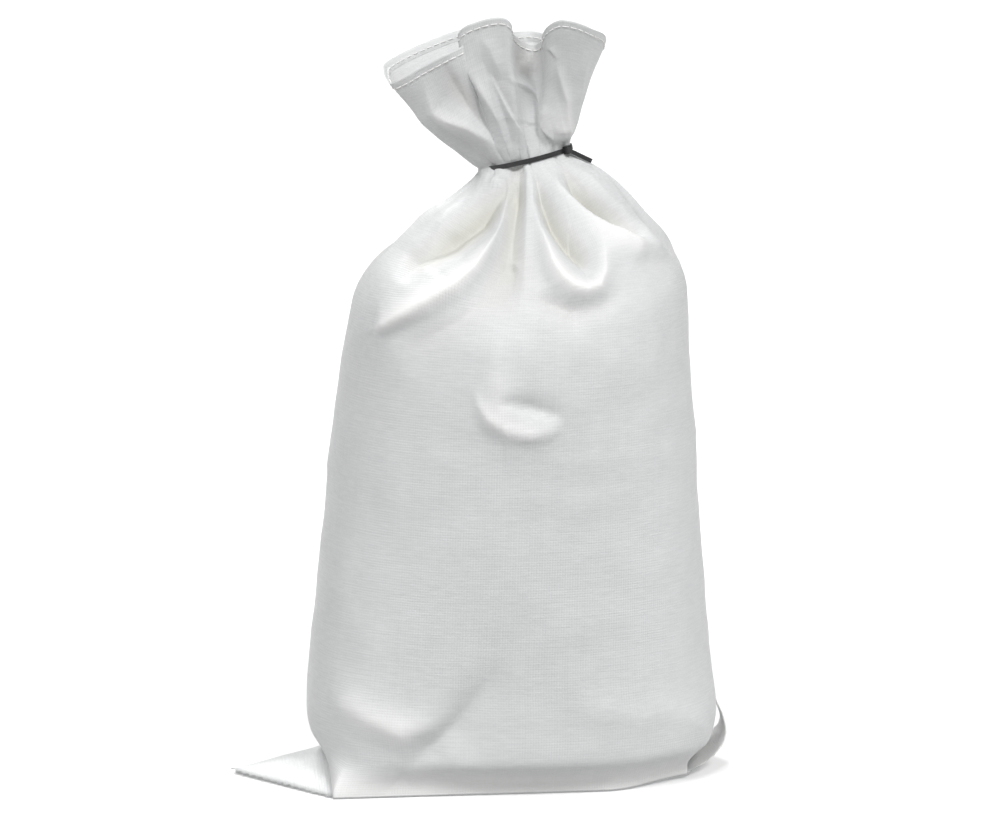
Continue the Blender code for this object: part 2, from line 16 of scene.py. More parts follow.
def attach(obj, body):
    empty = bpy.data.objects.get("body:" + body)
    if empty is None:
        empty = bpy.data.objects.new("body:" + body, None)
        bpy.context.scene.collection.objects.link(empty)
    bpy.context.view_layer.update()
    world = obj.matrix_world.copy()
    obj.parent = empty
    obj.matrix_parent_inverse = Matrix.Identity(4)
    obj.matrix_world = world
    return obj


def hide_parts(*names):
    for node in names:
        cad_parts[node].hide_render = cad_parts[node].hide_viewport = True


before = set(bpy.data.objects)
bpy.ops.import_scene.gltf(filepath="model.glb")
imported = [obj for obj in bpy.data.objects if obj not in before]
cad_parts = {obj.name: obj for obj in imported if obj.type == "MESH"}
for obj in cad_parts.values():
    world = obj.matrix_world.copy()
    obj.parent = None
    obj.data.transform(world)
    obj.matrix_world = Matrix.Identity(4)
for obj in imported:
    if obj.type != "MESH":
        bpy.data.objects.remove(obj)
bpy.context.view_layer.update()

# The photograph's camera, as found from the sack's own size.
PHOTO_WIDTH = 1000
PHOTO_HEIGHT = 833
FOCAL_PIXELS = 3980.0
ORIGIN_COLUMN = 512.0
CAMERA_AZIMUTH = math.radians(-6.0)
CAMERA_PITCH = math.radians(10.47)
CAMERA_DISTANCE = 4.0
CAMERA_HEIGHT = 1.11
SENSOR_MM = 36.0

# The cloth laid flat, and how it is shared out.
FLAT_WIDTH = 0.55
BOTTOM_REACH = 0.095
HEM_WIDTH = 0.0100
HEM_GAP = 0.0007
HEM_ROWS = (  # down from the edge, and inside the cloth
    (0.0004, 0.6 * HEM_GAP),
    (0.0020, HEM_GAP),
    (0.0045, HEM_GAP),
    (0.0070, HEM_GAP),
    (HEM_WIDTH, 0.9 * HEM_GAP),
    (HEM_WIDTH + 0.0010, 0.2 * HEM_GAP),
)
CLOTH_LIFT = 0.0004  # how far the sheet lies above the floor

# The filled body: height, middle across, half width, half depth, squareness of the section.
BODY_STATIONS = (
    (0.000, -0.004, 0.192, 0.104, 3.6),
    (0.010, -0.004, 0.201, 0.118, 3.1),
    (0.030, -0.002, 0.206, 0.130, 2.7),
    (0.072, -0.001, 0.2120, 0.136, 2.4),
    (0.125, -0.002, 0.2075, 0.142, 2.25),
    (0.180, -0.001, 0.2010, 0.147, 2.2),
    (0.285, 0.001, 0.1915, 0.156, 2.1),
    (0.388, 0.003, 0.1815, 0.164, 2.1),
    (0.455, 0.006, 0.1745, 0.165, 2.1),
    (0.492, 0.009, 0.1700, 0.158, 2.1),
    (0.512, 0.0125, 0.1655, 0.148, 2.1),
    (0.532, 0.0155, 0.1555, 0.134, 2.1),
    (0.553, 0.0185, 0.1370, 0.116, 2.1),
    (0.573, 0.0200, 0.1150, 0.094, 2.0),
    (0.594, 0.0185, 0.0915, 0.070, 2.0),
    (0.618, 0.0155, 0.0630, 0.043, 2.0),
    (0.630, 0.0145, 0.0495, 0.0320, 2.0),
    (0.637, 0.0142, 0.0470, 0.0300, 2.0),
)
NECK_CENTRE = np.array([0.0142, 0.0, 0.637])
NECK_HALF_WIDTH = 0.0470
NECK_HALF_DEPTH = 0.0300
NECK_LEAN = math.radians(13.0)
LEAN_FADES_OVER = 0.060
STRAP_HALF = 0.0034

# The hem's edge, once round from the left corner: place in the cloth (mm right of the front's middle), its
# column and row in the photograph, and how far it lies in front of the sack's middle (m).
RIM_POINTS = (
    (-275, 382, 70, 0.004),
    (-250, 384, 79, 0.022),
    (-228, 391, 84, 0.038),
    (-180, 424, 66, 0.058),
    (-142, 447, 54, 0.066),
    (-124, 459, 47, 0.062),
    (-112, 461, 41, 0.055),
    (-103, 459, 34, 0.058),
    (-92, 464, 27, 0.065),
    (-76, 476, 22, 0.069),
    (-58, 492, 18, 0.071),
    (-44, 504, 18, 0.071),
    (-32, 511, 23, 0.065),
    (-10, 513, 30, 0.048),
    (21, 517, 36, 0.026),
    (49, 526, 42, 0.012),
    (63, 534, 44, 0.010),
    (80, 540, 41, 0.020),
    (105, 541, 36, 0.042),
    (134, 547, 27, 0.060),
    (159, 560, 20, 0.070),
    (179, 576, 22, 0.068),
    (211, 593, 29, 0.052),
    (247, 605, 35, 0.028),
    (275, 606, 42, 0.008),
    (300, 600, 46, -0.014),
    (330, 588, 44, -0.036),
    (355, 573, 41, -0.052),
    (385, 561, 43, -0.034),
    (412, 551, 37, -0.045),
    (442, 539, 32, -0.066),
    (470, 524, 31, -0.072),
    (500, 509, 33, -0.060),
    (527, 498, 39, -0.040),
    (552, 487, 34, -0.052),
    (582, 470, 29, -0.070),
    (615, 452, 32, -0.068),
    (652, 433, 39, -0.060),
    (702, 413, 47.5, -0.048),
    (752, 396, 56, -0.034),
    (792, 384, 64, -0.016),
)


def fold(left, right, edge, *path, shares=(1.0, 1.0)):
    """A fold along a path of (column, row, height in mm), with a fourth number where its reach is scaled.

    Left and right say how far it reaches on either side of someone walking along it, and shares how much of
    its height each side has. Edge is the width over which the two sides meet. All of them are in pixels.
    """
    return {"path": path, "left": (left, shares[0]), "right": (right, shares[1]), "edge": edge}


# Folds on the side that faces the camera.
BODY_FOLDS = (
    # left shoulder: outer crest, deep valley under it, and the long crest that runs out to the left
    fold(9, 14, 3, (505, 168, 1), (491, 184, 4), (461, 203, 5), (445, 215, 5), (428, 242, 4),
         (412, 262, 1)),
    fold(22, 10, 3, (508, 176, -4), (503, 190, -16), (478, 212, -24), (447, 234, -23), (415, 257, -13),
         (400, 285, -1)),
    fold(6.5, 22, 2, (507, 173, 4), (505, 199, 12), (502, 218, 14), (497, 236, 16), (489, 252, 17),
         (477, 272, 17), (456, 292, 17), (428, 309, 16, 0.9), (404, 321, 14, 0.75), (388, 329, 11, 0.6),
         (377, 333, 3, 0.4)),
    fold(24, 12, 4, (510, 230, 0), (505, 262, -3), (487, 296, -5), (458, 320, -5), (420, 340, -4),
         (392, 349, 0)),
    # middle: two soft pleats that run down from the tie
    fold(9, 9, 3, (519, 172, -5), (516, 200, -7), (512, 236, -5), (513, 268, -3), (512, 300, 0)),
    fold(9, 9, 3, (527, 172, 4), (526, 200, 5), (526, 232, 5), (524, 270, 3), (526, 330, 0)),
    fold(4, 7, 2, (505, 255, 0), (514, 262, 3.5), (521, 270, 0), shares=(1.0, -0.6)),
    # the hanging loop right of the middle: its rim, and the valley inside it
    fold(14, 10, 3, (533, 170, 5), (533, 200, 9), (539, 222, 12), (545, 243, 14), (552, 266, 17),
         (561, 281, 18), (572, 290, 18), (584, 293, 17), (597, 288, 14), (603, 272, 10), (603, 252, 6),
         (597, 236, 2)),
    fold(10, 10, 3, (536, 176, -6), (542, 200, -15), (553, 222, -20), (567, 240, -20), (580, 255, -16),
         (590, 268, -5)),
    fold(10, 20, 3, (520, 300, 0), (545, 300, -5), (572, 308, -7), (600, 305, -6), (622, 290, -1)),
    # right shoulder: bright shelf, valley above it, and the outer crest
    fold(9, 13, 3, (553, 176, 4), (560, 190, 9), (574, 203, 11), (590, 219, 13), (605, 230, 14),
         (622, 238, 15), (638, 246, 12), (651, 249, 5)),
    fold(8, 8, 3, (566, 174, -5), (577, 190, -15), (593, 205, -21), (612, 219, -21), (630, 229, -14),
         (646, 236, -3)),
    fold(10, 7, 3, (573, 164, 2), (590, 178, 4), (607, 195, 5), (626, 212, 5), (646, 230, 4),
         (662, 250, 1)),
    fold(7, 14, 3, (615, 252, 0), (640, 262, -4), (662, 262, -3), (676, 254, 0)),
    # the tongue that comes forward down to the crescent high on the belly, and the crescent
    fold(30, 26, 6, (510, 230, -5), (506, 275, -6), (502, 320, 0), (498, 355, 5), (497, 385, 7),
         (500, 410, 6)),
    fold(12, 7, 2, (474, 388, 0, 0.5), (480, 406, 4, 0.8), (490, 420, 7), (508, 431, 8), (530, 435, 8),
         (550, 432, 5, 0.8), (564, 425, 0, 0.4)),
    fold(10, 5, 1.5, (496, 402, 0, 0.5), (512, 404, -5, 0.8), (532, 409, -8), (552, 414, -5),
         (566, 419, 0, 0.6)),
    fold(5, 14, 3, (420, 452, 0), (445, 460, 1.6), (470, 461, 0)),
    fold(5, 16, 3, (545, 470, 0), (590, 460, 1.8), (640, 455, 1.5), (668, 446, 0)),
    fold(5, 16, 3, (455, 505, 0), (520, 498, 1.2), (600, 500, 1.4), (650, 492, 0)),
    # the floor edge: the left corner's ridge and hollow, and the right corner's bulge
    fold(24, 20, 5, (326, 686, 0), (345, 702, 7), (372, 718, 11), (402, 730, 12), (432, 726, 8),
         (458, 712, 2)),
    fold(26, 16, 5, (505, 664, -1), (478, 698, -8), (452, 728, -13), (428, 750, -11), (405, 772, -3)),
    fold(10, 16, 4, (676, 712, 1), (694, 720, 4), (704, 734, 4), (708, 752, 2)),
    fold(22, 22, 5, (560, 700, 0), (610, 716, 3), (660, 716, 3), (688, 704, 0)),
)
MOUTH_FOLDS = (
    # left lobe: a dent under the hem, and the ridge that runs from it down to the tie
    fold(10, 15, 1.5, (421, 72, 0), (427, 92, 5), (434, 111, 10), (447, 117, 12), (466, 124, 11),
         (485, 137, 8), (502, 152, 2)),
    fold(10, 11, 3, (442, 62, -1), (454, 84, -5), (466, 104, -6), (480, 122, -5), (498, 144, -2)),
    fold(8, 9, 3, (404, 92, 0), (420, 108, -3), (444, 128, -5), (470, 146, -3)),
    # the near edge of the middle lobe
    fold(8, 5, 1.5, (462, 44, 4), (472, 71, 7), (485, 95, 8), (498, 120, 6), (506, 146, 2)),
    fold(6, 6, 2, (484, 62, -1), (496, 92, -3), (506, 120, -3), (512, 144, -2)),
    fold(9, 9, 3, (480, 34, 0), (488, 46, 4), (496, 62, 4), (503, 80, 0)),
    # the lapped pleat in the middle: its sharp edge stands over the flat piece beside it
    fold(20, 8, 1.0, (490, 72, 0), (494, 81, 3), (506, 104, 5), (518, 125, 5), (531, 150, 2),
         shares=(-0.15, 0.85)),
    # the right lobe's jagged edge over the same flat piece
    fold(11, 12, 1.0, (513, 83, 1), (523, 87, 3.5), (534, 94.5, 4.5), (541, 102, 6), (544, 113, 7),
         (543, 128, 6), (549, 138, 5), (557, 147, 2), shares=(0.9, -0.15)),
    fold(5, 4, 1.5, (556, 60, 0), (560, 76, 4), (565, 98, 6), (565, 131, 5), (563, 143, 1)),
    fold(27, 12, 3, (547, 126, 3), (560, 128, 7), (572, 124, 3)),
    fold(4, 5, 1.5, (545, 49, 0), (551, 52, 2.5), (555, 58, 1.5), (556, 64, 0), shares=(1.0, -0.5)),
    fold(9, 8, 3, (519, 46, -1), (524, 60, -5), (528, 74, -4), (532, 84, 0)),
    fold(6, 8, 3, (588, 46, 0), (584, 70, 3), (578, 96, 3), (572, 120, 1)),
)

# Folds on the sides and the back. Here a path has degrees round from the front's middle towards the right,
# and mm above the floor, in place of columns and rows, and the reaches are in mm.
SHOULDER_FOLDS = (
    fold(13, 13, 4, (62, 628, -5), (70, 600, -10), (78, 566, -9), (84, 530, -2)),
    fold(13, 11, 4, (82, 626, 4), (86, 596, 7), (94, 560, 7), (104, 520, 2)),
    fold(16, 14, 4, (104, 628, -6), (112, 596, -12), (118, 556, -10), (116, 512, -2)),
    fold(12, 16, 4, (128, 626, 5), (132, 590, 9), (142, 548, 9), (158, 508, 3)),
    fold(14, 14, 4, (146, 628, -6), (152, 590, -12), (150, 552, -10), (140, 522, -2)),
    fold(12, 12, 4, (170, 626, 4), (172, 590, 8), (170, 545, 8), (178, 480, 1)),
    fold(16, 15, 4, (190, 628, -6), (192, 596, -13), (198, 552, -11), (214, 512, -2)),
    fold(13, 16, 4, (214, 626, 5), (216, 592, 9), (226, 548, 10), (250, 515, 3)),
    fold(14, 13, 4, (234, 628, -5), (240, 598, -10), (252, 566, -8), (268, 540, -1)),
    fold(12, 12, 4, (258, 626, 4), (266, 596, 7), (274, 560, 7), (276, 520, 2)),
    fold(13, 13, 4, (284, 628, -5), (288, 596, -9), (290, 560, -7), (290, 524, -1)),
    fold(18, 12, 4, (120, 418, 0), (140, 404, 5), (165, 398, 6), (196, 408, 4), (214, 420, 0)),
    fold(16, 8, 4, (70, 360, 0), (92, 352, 2.5), (118, 356, 0)),
    fold(16, 8, 4, (240, 330, 0), (262, 322, 2.5), (290, 330, 0)),
    fold(24, 20, 5, (130, 20, 0), (145, 55, 6), (160, 80, 7), (182, 74, 6), (200, 60, 0)),
    fold(22, 20, 5, (205, 120, -1), (214, 70, -7), (226, 36, -4)),
)
ROUND_SCALE = 175.0  # mm round the body for each radian

# The two layers of pleats at the tie: how many, how deep, how fast they die away from it, and the share of
# their depth that is lost on the side that faces the camera, which has folds of its own.
SMALL_PLEATS = 21
SMALL_DEPTH = 0.0050
SMALL_FADE = 0.020
SMALL_LOST = 0.45
LARGE_PLEATS = 11
LARGE_DEPTH = 0.0085
LARGE_FADE = 0.055
LARGE_LOST = 0.75
LARGE_STARTS = 0.008  # over this distance from the tie the large ones open

# Unevenness all over: size of its lumps and how high they stand. It settles away from the floor and the tie.
SLOW_SIZE = 0.11
SLOW_HEIGHT = 0.0030
MIDDLING_SIZE = 0.034
MIDDLING_HEIGHT = 0.0011
SETTLE_ABOVE_FLOOR = 0.012
SETTLE_FROM_TIE = 0.006
SETTLE_OVER = 0.05

# Close to the tie nothing stands out of the cloth, and close to the floor nothing moves.
TIE_CLEAR = 0.0035
TIE_CLEAR_OVER = 0.010
FLOOR_CLEAR = 0.001
FLOOR_CLEAR_OVER = 0.020

# The pleat that laps over the tie at its left end: degrees round, half width in degrees, depth and reach (m).
LAP_AT = 282.0
LAP_HALF = 15.0
LAP_DEPTH = 0.0048
LAP_FADE = 0.016

# Painted shade and painted light that follow the relief. Valleys get painted shade, darker and warmer: the
# depth (m) of a full one, and how fast the tint fades below the tie. Crests get painted highlights, paler:
# from this height (m), and fully so this much higher. The foot and the right ear are painted paler too, as
# painted light from a pale floor.
HOLLOW_DEPTH = 0.016
HOLLOW_FADE = 0.16
CREST_FROM = 0.003
CREST_HEIGHT = 0.011
FOOT_PAINTED_LIGHT = 0.8
FOOT_PALE_TO = 0.006
FOOT_PALE_OVER = 0.034
EAR_PALE_OVER = 0.02

COLUMNS = 420
CROWDING = 0.5  # how much closer the columns lie at the front than at the sides
FINE = 1.0
SEED = 7
FACING_FULL = 0.30  # cosine of the angle to the camera at which its folds have their full height


def between(low, high, share):
    return low + (high - low) * share


def ease(share):
    share = np.clip(share, 0.0, 1.0)
    return share * share * (3.0 - 2.0 * share)


def spline(points, at, period=None):
    """The other columns of points, on a smooth curve at each place. The first column holds their places."""
    points = np.asarray(points, float)
    at = np.atleast_1d(np.asarray(at, float))
    place = points[:, 0]
    if period is None:
        at = np.clip(at, place[0], place[-1])
        padded = np.vstack([points[0], points, points[-1]])
    else:
        at = place[0] + (at - place[0]) % period
        step = np.zeros(points.shape[1])
        step[0] = period
        padded = np.vstack([points[-1] - step, points, points[0] + step, points[1] + step])
    last = len(padded) - 3
    start = np.clip(np.searchsorted(padded[1:-1, 0], at, side="right") - 1, 0, last - 1) + 1
    before, low, high, after = (padded[start + step] for step in (-1, 0, 1, 2))
    gap = (high[:, 0] - low[:, 0])[:, None]
    share = (at[:, None] - low[:, :1]) / gap
    slope_low = (high - before) / (high[:, :1] - before[:, :1]) * gap
    slope_high = (after - low) / (after[:, :1] - low[:, :1]) * gap
    square, cube = share**2, share**3
    value = low * (2 * cube - 3 * square + 1) + slope_low * (cube - 2 * square + share)
    value += high * (3 * square - 2 * cube) + slope_high * (cube - square)
    return value[:, 1:]


def linked(name, data):
    """A new object of this data, in the scene."""
    thing = bpy.data.objects.new(name, data)
    bpy.context.scene.collection.objects.link(thing)
    return thing


# Camera

ACROSS = np.array([math.cos(CAMERA_AZIMUTH), math.sin(CAMERA_AZIMUTH), 0.0])
TOWARD = np.array([math.sin(CAMERA_AZIMUTH), -math.cos(CAMERA_AZIMUTH), 0.0])
FORWARD = -TOWARD * math.cos(CAMERA_PITCH) - np.array([0.0, 0.0, math.sin(CAMERA_PITCH)])
UPWARD = np.cross(ACROSS, FORWARD)
SIDESTEP = (PHOTO_WIDTH / 2 - ORIGIN_COLUMN) / FOCAL_PIXELS * CAMERA_DISTANCE * math.cos(CAMERA_PITCH)
EYE = TOWARD * CAMERA_DISTANCE + ACROSS * SIDESTEP + np.array([0.0, 0.0, CAMERA_HEIGHT])


def seen(points):
    """Column and row of points in the photograph's frame."""
    offset = points - EYE
    depth = offset @ FORWARD
    column = PHOTO_WIDTH / 2 + FOCAL_PIXELS * (offset @ ACROSS) / depth
    row = PHOTO_HEIGHT / 2 - FOCAL_PIXELS * (offset @ UPWARD) / depth
    return np.stack([column, row], axis=-1)


def placed(column, row, toward):
    """The points seen at these columns and rows that lie this far in front of the sack's middle."""
    across = (column - PHOTO_WIDTH / 2) / FOCAL_PIXELS
    up = (PHOTO_HEIGHT / 2 - row) / FOCAL_PIXELS
    ray = FORWARD + across[:, None] * ACROSS + up[:, None] * UPWARD
    length = (toward - EYE @ TOWARD) / (ray @ TOWARD)
    return EYE + ray * length[:, None]


def make_camera():
    data = bpy.data.cameras.new("camera")
    data.sensor_width = SENSOR_MM
    data.lens = FOCAL_PIXELS * SENSOR_MM / PHOTO_WIDTH
    data.clip_start = 0.1
    data.clip_end = 100.0
    camera = linked("camera", data)
    turn = Matrix((ACROSS, UPWARD, -FORWARD)).transposed().to_4x4()
    camera.matrix_world = Matrix.Translation(Vector(EYE)) @ turn
    bpy.context.scene.camera = camera


# The sack's base surface

SECTION_STEPS = 1440
LEAN_FULL_WITHIN = 0.004


def section(half_width, half_depth, squareness, middle, places):
    """Points of a rounded section at these shares of its edge, from the front's middle towards the right."""
    turn = np.linspace(-0.5 * math.pi, 1.5 * math.pi, SECTION_STEPS + 1)
    across = np.abs(np.cos(turn)) / half_width
    deep = np.abs(np.sin(turn)) / half_depth
    reach = (across**squareness + deep**squareness) ** (-1.0 / squareness)
    edge = np.stack([middle + reach * np.cos(turn), reach * np.sin(turn)], axis=1)
    steps = np.linalg.norm(np.diff(edge, axis=0), axis=1)
    length = np.concatenate([[0.0], np.cumsum(steps)])
    at = (places % 1.0) * length[-1]
    return np.stack([np.interp(at, length, edge[:, k]) for k in (0, 1)], axis=1)


def leaned(points):
    """Points turned with the tie's lean, which is full at the tie and fades away from it."""
    away = np.abs(points[..., 2] - NECK_CENTRE[2]) - LEAN_FULL_WITHIN
    turn = -NECK_LEAN * (1.0 - ease(away / LEAN_FADES_OVER))
    x, y, z = (points[..., k] - NECK_CENTRE[k] for k in range(3))
    turned_x = x * np.cos(turn) + z * np.sin(turn)
    turned_z = z * np.cos(turn) - x * np.sin(turn)
    return np.stack([turned_x, y, turned_z], axis=-1) + NECK_CENTRE


# The foot: the flat base, and the two ears of the sewn bottom. The left ear lies out on the floor, with a
# crest where its upper layer runs into the body. The right ear stands up against the sack.
BASE_HALF_DEPTH = 0.100
LEFT_BASE = -0.192
LEFT_TIP = -0.293
RIGHT_BASE = 0.176
EAR_LAYER = 0.0016
EAR_LAYER_SPREAD = 1.5
LEFT_EAR_CREST = 0.021
CREST_ALONG_POWER = 1.3
CREST_ACROSS_POWER = 1.6
EAR_LIFT = 0.0036
EAR_LIFTED_BY = 0.5  # share of the way to the tip
EAR_EDGE_SAG = 0.6  # share of the lift that is lost at the ear's long edges
EAR_SWING = 0.010  # how far the left ear's tip turns back
CORNER_FROM = 0.085
CORNER_OVER = 0.105
CORNER_FRONT_PULL = 0.42
CORNER_BACK_PULL = 0.20
CORNER_LIFT = 0.004
SEAM_CHANNEL = 0.0026
SEAM_CHANNEL_HALF = 0.005
SEAM_CHANNEL_TO = 0.17
SEAM_CHANNEL_OVER = 0.02
TINY = 1e-4
RIGHT_EAR_PROFILE = (  # share of the way to the tip, across, up
    (0.0, 0.176, 0.001),
    (0.22, 0.197, 0.010),
    (0.46, 0.2165, 0.024),
    (0.62, 0.2225, 0.036),
    (0.82, 0.2205, 0.053),
    (1.0, 0.2140, 0.068),
)


def corner_drawn(points):
    """Points near the floor, with the right end drawn in, mostly at the front, and raised a little there."""
    share = ease((points[:, 0] - CORNER_FROM) / CORNER_OVER)
    pull = np.where(points[:, 1] < 0.0, CORNER_FRONT_PULL, CORNER_BACK_PULL) * share
    drawn = points.copy()
    drawn[:, 1] *= 1.0 - pull
    toward_front = np.clip(-points[:, 1] / BASE_HALF_DEPTH, 0.0, 1.0)
    drawn[:, 2] += CORNER_LIFT * share * toward_front**2
    return drawn


def bottom_rows(count, places):
    """The rows under the sack and in its two corners, from the seam out to the edge of the floor."""
    half = FLAT_WIDTH / 2
    inner = half - BOTTOM_REACH
    turned = (places * 2 * FLAT_WIDTH + half) % (2 * FLAT_WIDTH) - half
    back = turned > half
    along = np.where(back, FLAT_WIDTH - turned, turned)
    facing = np.where(back, 1.0, -1.0)
    right = along > 0
    out = np.abs(along)
    rows = []
    for share in np.linspace(0.0, 1.0, count):
        v = share * BOTTOM_REACH
        from_edge = half - out
        top = v > from_edge
        far = np.where(top, half - v, out)
        side = np.where(top, from_edge, v)
        far = np.where(out < inner, out, far)
        side = np.where(out < inner, v, side)
        tip = np.clip((far - inner) / BOTTOM_REACH, 0.0, 1.0)
        y = facing * side * BASE_HALF_DEPTH / BOTTOM_REACH
        y = y + np.where(right, 0.0, EAR_SWING * tip * tip)
        above = top & (out >= inner)
        channel = SEAM_CHANNEL * np.exp(-((y / SEAM_CHANNEL_HALF) ** 2))
        channel = CLOTH_LIFT + channel * (1.0 - ease((far - SEAM_CHANNEL_TO) / SEAM_CHANNEL_OVER))
        left_x = np.where(far > inner, between(LEFT_BASE, LEFT_TIP, tip), LEFT_BASE * far / inner)
        inside = np.clip(side / np.maximum(BOTTOM_REACH * (1.0 - tip), TINY), 0.0, 1.0)
        lifted = CLOTH_LIFT + EAR_LIFT * ease(tip / EAR_LIFTED_BY) * (1.0 - EAR_EDGE_SAG * inside)
        crest = LEFT_EAR_CREST * (1.0 - tip) ** CREST_ALONG_POWER * (1.0 - inside**CREST_ACROSS_POWER)
        crest = lifted + EAR_LAYER + crest
        edge_lift = np.where(far > inner, lifted, 0.0)
        left_z = np.where(above, crest, np.maximum(channel, edge_lift))
        profile = spline(RIGHT_EAR_PROFILE, tip)
        right_x = np.where(far > inner, profile[:, 0], RIGHT_BASE * far / inner)
        right_z = np.where(far > inner, profile[:, 1], channel)
        right_x = right_x - np.where(above, EAR_LAYER * EAR_LAYER_SPREAD * np.sqrt(1.0 - inside), 0.0)
        x = np.where(right, right_x, left_x)
        row = np.stack([x, y, np.where(right, right_z, left_z)], axis=1)
        rows.append(corner_drawn(row))
    return np.array(rows)


SECTIONS_FROM = 0.040  # height at which the base's own outline has passed into the sections above it
EDGE_RISE_TO = 0.075  # height at which the rise of the base's edge is used up


def body_rows(heights, places, edge):
    """The rows of the body, which start at the bottom's edge and pass into smooth sections above it."""
    stations = spline(BODY_STATIONS, heights)
    rows = []
    for height, (middle, half_width, half_depth, squareness) in zip(heights, stations):
        ring = section(half_width, half_depth, squareness, middle, places)
        row = np.concatenate([ring, np.full((len(places), 1), height)], axis=1)
        row[:, :2] = between(edge[:, :2], row[:, :2], ease(height / SECTIONS_FROM))
        row[:, 2] += np.maximum(edge[:, 2] * (1.0 - ease(height / EDGE_RISE_TO)), CLOTH_LIFT)
        rows.append(row)
    return leaned(np.array(rows))


def rim_line(places):
    """The hem's edge as points, one for each column."""
    table = np.asarray(RIM_POINTS, float)
    points = placed(table[:, 1], table[:, 2], table[:, 3])
    knots = np.concatenate([table[:, :1] / 1000.0, points], axis=1)
    return spline(knots, places * 2 * FLAT_WIDTH, 2 * FLAT_WIDTH)


FLARE = 0.93  # the power that shapes the mouth's way out from the tie to the rim, in front and behind
FLARE_SWING = 0.22  # how much it grows towards the right and falls towards the left


def mouth_rows(shares, places):
    """The rows of the mouth, from the tie up to the hem's edge."""
    ring = section(NECK_HALF_WIDTH, NECK_HALF_DEPTH, 2.0, NECK_CENTRE[0], places)
    low = leaned(np.concatenate([ring, np.full((len(places), 1), NECK_CENTRE[2] + STRAP_HALF)], axis=1))
    rim = rim_line(places)
    turn = 2.0 * math.pi * (places - 0.25)
    rows = []
    for share in shares:
        flare = share ** (FLARE + FLARE_SWING * np.cos(turn))
        row = between(low, rim, flare[:, None])
        row[:, 2] = between(low[:, 2], rim[:, 2], share)
        rows.append(row)
    return np.array(rows)


BOTTOM_ROWS = 16
MOUTH_ROWS = 66
ROW_SPACING = (  # height, distance between rows there
    (0.0, 0.0032),
    (0.06, 0.0052),
    (0.12, 0.0088),
    (0.34, 0.0088),
    (0.40, 0.0042),
    (0.50, 0.0030),
    (0.637, 0.0020),
)
LOWEST_ROW = 0.002
TOP_ROW_BELOW_TIE = 0.0015


def body_heights():
    """Heights of the body's rows: close at the floor, wide on the plain body, close again above it."""
    at, spacing = zip(*ROW_SPACING)
    heights = [LOWEST_ROW]
    top = NECK_CENTRE[2] - TOP_ROW_BELOW_TIE
    while heights[-1] < top:
        heights.append(heights[-1] + np.interp(heights[-1], at, spacing) / FINE)
    return np.array(heights) * top / heights[-1]


# Folds

def normals_of(grid):
    across = np.roll(grid, -1, axis=1) - np.roll(grid, 1, axis=1)
    up = np.gradient(grid, axis=0)
    normal = np.cross(across, up)
    return normal / np.maximum(np.linalg.norm(normal, axis=2, keepdims=True), 1e-12)


PEAK = 1.35  # the power that shapes a fold across: 2 is a soft swell, 1 a sharp crease


def fold_height(places, path, left, right, edge):
    """Height of one fold at each place, in mm as its path gives it."""
    path = np.array([(*point, 1.0)[:4] for point in path], float)
    best = np.full(places.shape[:-1], np.inf)
    height = np.zeros_like(best)
    side = np.zeros_like(best)
    wide = np.ones_like(best)
    for start, end in zip(path[:-1], path[1:]):
        step = end[:2] - start[:2]
        offset = places - start[:2]
        share = np.clip((offset @ step) / (step @ step), 0.0, 1.0)
        away = offset - share[..., None] * step
        distance = np.linalg.norm(away, axis=-1)
        nearer = distance < best
        best = np.where(nearer, distance, best)
        height = np.where(nearer, between(start[2], end[2], share), height)
        wide = np.where(nearer, between(start[3], end[3], share), wide)
        cross = step[1] * offset[..., 0] - step[0] * offset[..., 1]
        side = np.where(nearer, np.sign(cross), side)
    signed = best * side
    reach = np.where(side > 0, left[0], right[0]) * wide
    blend = ease(0.5 + signed / (2.0 * edge))
    share = between(right[1], left[1], blend)
    return height * share * np.exp(-((best / reach) ** PEAK))


PLEAT_WIDTHS = (0.55, 1.45)  # as shares of the average
PLEAT_DEPTHS = (0.45, 1.0)
VALLEY_POWER = 2.4


def pleated(places, count, seed):
    """0 on the crests of an uneven row of pleats, up to 1 in the sharp valleys between them."""
    source = np.random.default_rng(seed)
    widths = source.uniform(*PLEAT_WIDTHS, count)
    ends = np.cumsum(widths) / widths.sum()
    depth = source.uniform(*PLEAT_DEPTHS, count)
    index = np.searchsorted(ends, places % 1.0)
    starts = np.concatenate([[0.0], ends[:-1]])
    within = (places % 1.0 - starts[index]) / (ends[index] - starts[index])
    valley = np.where(within < 0.5, depth[index - 1], depth[index])
    return np.abs(2.0 * within - 1.0) ** VALLEY_POWER * valley


NOISE_STEP = 17.3  # how far apart two fields of noise are read


def noise_field(grid, size, number):
    flat = grid.reshape(-1, 3) / size + number * NOISE_STEP
    return np.array([noise.noise(Vector(p)) for p in flat]).reshape(grid.shape[:2])


